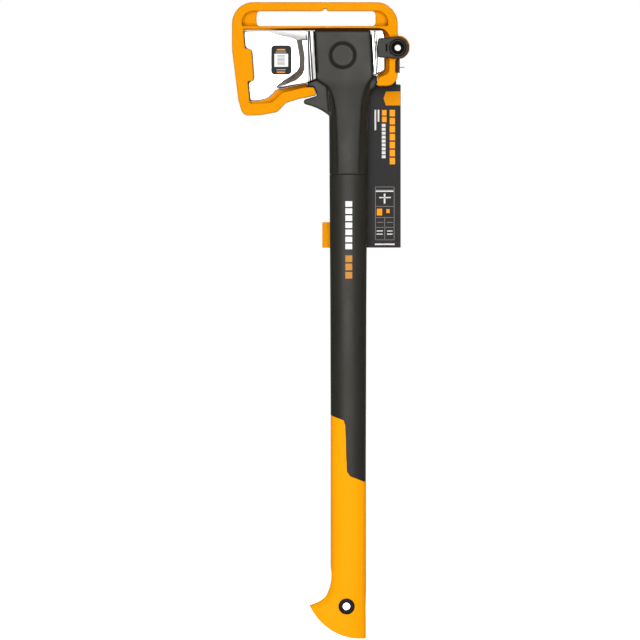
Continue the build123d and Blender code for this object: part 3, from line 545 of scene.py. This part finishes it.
def print_on(name, node, body, material, patches, lift=0.05 * MM, step=1.5 * MM):
    """Thin printed patches laid on the front of a CAD node. Each patch is (x0, x1, z0, z1) in millimetres."""
    surface = BVHTree.FromObject(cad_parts[node], bpy.context.evaluated_depsgraph_get())
    mesh = bmesh.new()
    for x0, x1, z0, z1 in patches:
        across = max(1, round((x1 - x0) * MM / step))
        down = max(1, round(abs(z1 - z0) * MM / step / 2))
        rows = []
        for j in range(down + 1):
            row = []
            for i in range(across + 1):
                x = (x0 + (x1 - x0) * i / across) * MM
                z = (z0 + (z1 - z0) * j / down) * MM
                hit = surface.ray_cast(Vector((x, -0.2, z)), Vector((0.0, 1.0, 0.0)))[0]
                if hit is None:
                    raise RuntimeError(f"{name}: no surface of {node} at {x:.4f}, {z:.4f}")
                row.append(mesh.verts.new((x, hit.y - lift, z)))
            rows.append(row)
        for upper, lower in zip(rows, rows[1:]):
            for i in range(across):
                mesh.faces.new((upper[i], lower[i], lower[i + 1], upper[i + 1]))
    mesh.normal_update()
    for face in mesh.faces:
        if face.normal.y > 0:
            face.normal_flip()
        face.smooth = True
    data = bpy.data.meshes.new(name)
    mesh.to_mesh(data)
    mesh.free()
    data.materials.append(material)
    obj = bpy.data.objects.new(name, data)
    bpy.context.collection.objects.link(obj)
    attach(obj, body)
    return obj


# ---- operators ---------------------------------------------------------------------------------------------
class AXE_OT_finish_head(bpy.types.Operator):
    """Polished steel on the head, rounded ground edges"""

    bl_idname = "axe.finish_head"
    bl_label = "Steel head"

    def execute(self, context):
        steel = polished_steel("polished_steel", colours().steel)
        even_skin(paint("axe_head", steel), 0.55 * MM, 5)
        soften(paint("head_lock_pin", steel), 0.3 * MM)
        return {"FINISHED"}


class AXE_OT_finish_handle(bpy.types.Operator):
    """Black housing and shaft, orange grip, bush and pin caps"""

    bl_idname = "axe.finish_handle"
    bl_label = "Handle"

    def execute(self, context):
        black = moulded_plastic("black_nylon", colours().black, 0.42, specular=0.17)
        rubber = moulded_plastic("seal_rubber", (0.01, 0.01, 0.01), 0.6, specular=0.08)
        skin = moulded_plastic("soft_grip", colours().grip_orange, 0.5, flow=0.03, specular=0.03)
        tube = moulded_plastic("orange_nylon_tube", colours().orange, 0.4, specular=0.06)
        bush = gloss_plastic("bush_black", (0.006, 0.006, 0.007), 0.22)
        even_skin(paint("head_housing", black), 0.9 * MM, 6)
        soften(paint("handle_shaft", black), 0.3 * MM)
        even_skin(paint("pin_cap_front", black), 0.4 * MM, 2)
        even_skin(paint("pin_cap_back", black), 0.4 * MM, 2)
        soften(paint("pin_ring_front", rubber), 0.2 * MM)
        soften(paint("pin_ring_back", rubber), 0.2 * MM)
        even_skin(paint("lower_grip", skin), 1.0 * MM, 3)
        paint("grip_tube", tube)
        paint("butt_plug", tube)
        paint("foam_core", tube)
        soften(paint("lanyard_bush", bush), 0.2 * MM)
        return {"FINISHED"}


class AXE_OT_finish_cover(bpy.types.Operator):
    """Orange cover moulding with soft edges"""

    bl_idname = "axe.finish_cover"
    bl_label = "Blade cover"

    def execute(self, context):
        orange = moulded_plastic("orange_nylon", colours().orange, 0.34, bump=0.06, flow=0.03, specular=0.004,
                                 deep=(0.3, 0.16, 0.1), reach=0.006, start=0.18, full=0.5)
        even_skin(paint("cover_frame", orange), 0.8 * MM, 18)
        return {"FINISHED"}


class AXE_OT_finish_latch(bpy.types.Operator):
    """Latch, hollow rivet and detent leaf"""

    bl_idname = "axe.finish_latch"
    bl_label = "Latch"

    def execute(self, context):
        nylon = moulded_plastic("latch_nylon", colours().black, 0.42, specular=0.14, deep=(0.25, 0.25, 0.25),
                                reach=0.003, start=0.15, full=0.4)
        bush = gloss_plastic("rivet_black", (0.003, 0.003, 0.003), 0.45, 0.015)
        soften(paint("latch", nylon), 0.35 * MM)
        soften(paint("latch_rivet", bush), 0.25 * MM)
        soften(paint("latch_detent_leaf", nylon), 0.3 * MM)
        return {"FINISHED"}


class AXE_OT_finish_labels(bpy.types.Operator):
    """Label film on the blade with plain bars, and the plain blocks on the shaft"""

    bl_idname = "axe.finish_labels"
    bl_label = "Blade label"

    def execute(self, context):
        film = gloss_plastic("label_film", (0.012, 0.013, 0.013), 0.3)
        white = gloss_plastic("label_white", (0.7, 0.7, 0.7), 0.35)
        paint("blade_label", film)
        paint("label_panel", white)
        amber = gloss_plastic("print_amber", (0.55, 0.24, 0.05), 0.4)
        grey = gloss_plastic("print_grey", (0.32, 0.32, 0.3), 0.4)
        bars = [(-58.6, -48.4, -49.4, -51.2), (-58.6, -48.4, -76.6, -78.2)]
        thin = [(-59.8, -47.2, -52.6, -53.6), (-59.0, -48.0, -74.0, -75.0)]
        print_on("label_bars", "blade_label", "axe_in_cover", amber, bars)
        print_on("label_lines", "blade_label", "axe_in_cover", grey, thin)
        heights = (-57.0, -58.6, -60.2, -61.8, -63.4, -65.0, -66.6, -68.2)
        blocks = [(-57.8, -48.8, z, z - 0.55) for z in heights]
        print_on("label_hatch", "label_panel", "axe_in_cover", film, blocks)
        white_ink = gloss_plastic("ink_white", (0.72, 0.72, 0.7), 0.45)
        amber_ink = gloss_plastic("ink_amber", (0.50, 0.22, 0.04), 0.45)
        stripe = dashes(24.4, 32.6, -233.6, -291.6, 7, 1.9)
        short = dashes(24.4, 32.6, -299.0, -327.0, 3, 1.9)
        print_on("shaft_stripe", "handle_shaft", "axe_in_cover", white_ink, stripe)
        print_on("shaft_stripe_short", "handle_shaft", "axe_in_cover", amber_ink, short)
        return {"FINISHED"}


class AXE_OT_finish_tag(bpy.types.Operator):
    """Hang tag, tab, badge and tie"""

    bl_idname = "axe.finish_tag"
    bl_label = "Hang tag"

    def execute(self, context):
        card = coated_card("black_card", colours().card)
        orange = coated_card("orange_card", colours().orange, specular=0.01)
        tie = gloss_plastic("tie_nylon", (0.7, 0.27, 0.03), 0.3)
        soften(paint("tag_card", card), 0.2 * MM)
        paint("tag_tab", orange)
        paint("tag_badge", orange)
        paint("tag_tie", tie)
        white = gloss_plastic("card_white", (0.62, 0.61, 0.59), 0.5)
        grey = gloss_plastic("card_grey", (0.14, 0.14, 0.13), 0.5)
        amber = gloss_plastic("card_amber", (0.85, 0.30, 0.01), 0.5)
        print_on("card_stripes_amber", "tag_card", "tag", amber, CARD_AMBER)
        print_on("card_stripes_white", "tag_card", "tag", white, CARD_WHITE)
        print_on("card_table", "tag_card", "tag", grey, CARD_GREY)
        return {"FINISHED"}


def studio_world(strength):
    """A bright patch behind the viewer and nearly dark sides, so that flanks read darker."""
    world = bpy.data.worlds.new("studio")
    world.use_nodes = True
    tree = world.node_tree
    place = tree.nodes.new("ShaderNodeTexCoord")
    parts = tree.nodes.new("ShaderNodeSeparateXYZ")
    join(tree, place.outputs["Generated"], parts.inputs[0])
    front = ramp(tree, math_node(tree, "ABSOLUTE", parts.outputs["Y"]), 0.45, 0.85, 0.0, 0.6)
    aside = ramp(tree, math_node(tree, "ABSOLUTE", parts.outputs["X"]), 0.3, 0.8, 0.25, 0.03)
    level = math_node(tree, "MAXIMUM", front, aside)
    colour = mix_colour(tree, level, (0.0, 0.0, 0.0), (strength,) * 3)
    ray = tree.nodes.new("ShaderNodeLightPath")
    seen = mix_colour(tree, ray.outputs["Is Camera Ray"], colour, (1.0, 1.0, 1.0))
    join(tree, seen, tree.nodes["Background"].inputs["Color"])
    return world


def area_light(name, place, aim, size, power):
    data = bpy.data.lights.new(name, "AREA")
    data.shape = "RECTANGLE"
    data.size, data.size_y = size
    data.energy = power
    obj = bpy.data.objects.new(name, data)
    obj.location = place
    obj.rotation_euler = (Vector(aim) - Vector(place)).to_track_quat("-Z", "Y").to_euler()
    bpy.context.collection.objects.link(obj)
    return obj


class AXE_OT_set_stage(bpy.types.Operator):
    """Pale floor, soft light and the camera"""

    bl_idname = "axe.set_stage"
    bl_label = "Stage"

    def execute(self, context):
        sizes = context.scene.axe_stage
        low, high = CAD_BOX
        middle = (low + high) / 2
        mesh = bmesh.new()
        bmesh.ops.create_circle(mesh, cap_ends=True, segments=96, radius=40.0)
        data = bpy.data.meshes.new("floor")
        mesh.to_mesh(data)
        mesh.free()
        floor = bpy.data.objects.new("floor", data)
        floor.location = (middle.x, middle.y, low.z - sizes.floor_gap)
        context.collection.objects.link(floor)
        material, shader = new_material("floor_paint")
        tree = material.node_tree
        speck = noise_value(tree, object_place(tree), 3.0, 2.0, 0.5)
        tint = mix_colour(tree, ramp(tree, speck, 0.3, 0.7), (0.93, 0.93, 0.93), (0.96, 0.96, 0.96))
        join(tree, tint, shader.inputs["Base Color"])
        shader.inputs["Roughness"].default_value = 0.95
        shader.inputs["Specular IOR Level"].default_value = 0.1
        ray = tree.nodes.new("ShaderNodeLightPath")
        glow = mix_colour(tree, ray.outputs["Is Camera Ray"], (0.0, 0.0, 0.0), (0.8, 0.8, 0.8))
        join(tree, glow, shader.inputs["Emission Color"])
        shader.inputs["Emission Strength"].default_value = 1.0
        data.materials.append(material)

        context.scene.world = studio_world(sizes.light)
        area_light("key", (middle.x - 0.15, -3.4, middle.z + 0.7), middle, (1.5, 1.5), 114.0)
        area_light("back", (middle.x + 0.5, 3.2, middle.z + 1.0), middle, (1.3, 1.3), 90.0)

        lens = bpy.data.cameras.new("camera")
        lens.sensor_width = 36.0
        lens.lens = 36.0 * sizes.camera_distance / sizes.view_height
        camera = bpy.data.objects.new("camera", lens)
        camera.location = (sizes.aim_x, -sizes.camera_distance, sizes.aim_z)
        camera.rotation_euler = (math.radians(90.0), 0.0, 0.0)
        context.collection.objects.link(camera)
        context.scene.camera = camera
        context.scene.view_settings.view_transform = "Standard"
        return {"FINISHED"}


class AXE_PT_sidebar(bpy.types.Panel):
    """Lists the steps and the values they use"""

    bl_idname = "AXE_PT_sidebar"
    bl_label = "Splitting axe"
    bl_space_type = "VIEW_3D"
    bl_region_type = "UI"
    bl_category = "Splitting axe"

    def draw(self, context):
        for group in (context.scene.axe_colours, context.scene.axe_stage):
            for name in group.bl_rna.properties.keys():
                if name not in ("rna_type", "name"):
                    self.layout.prop(group, name)
        for step in STEPS:
            self.layout.operator(step.bl_idname)


STEPS = (
    AXE_OT_finish_head,
    AXE_OT_finish_handle,
    AXE_OT_finish_cover,
    AXE_OT_finish_latch,
    AXE_OT_finish_labels,
    AXE_OT_finish_tag,
    AXE_OT_set_stage,
)
CLASSES = (FinishColours, StageSizes, *STEPS, AXE_PT_sidebar)


def register():
    for item in CLASSES:
        bpy.utils.register_class(item)
    bpy.types.Scene.axe_colours = PointerProperty(type=FinishColours)
    bpy.types.Scene.axe_stage = PointerProperty(type=StageSizes)


def unregister():
    del bpy.types.Scene.axe_stage
    del bpy.types.Scene.axe_colours
    for item in reversed(CLASSES):
        bpy.utils.unregister_class(item)


def main():
    register()
    for step in STEPS:
        group, name = step.bl_idname.split(".")
        getattr(getattr(bpy.ops, group), name)()


if __name__ == "__main__":
    main()
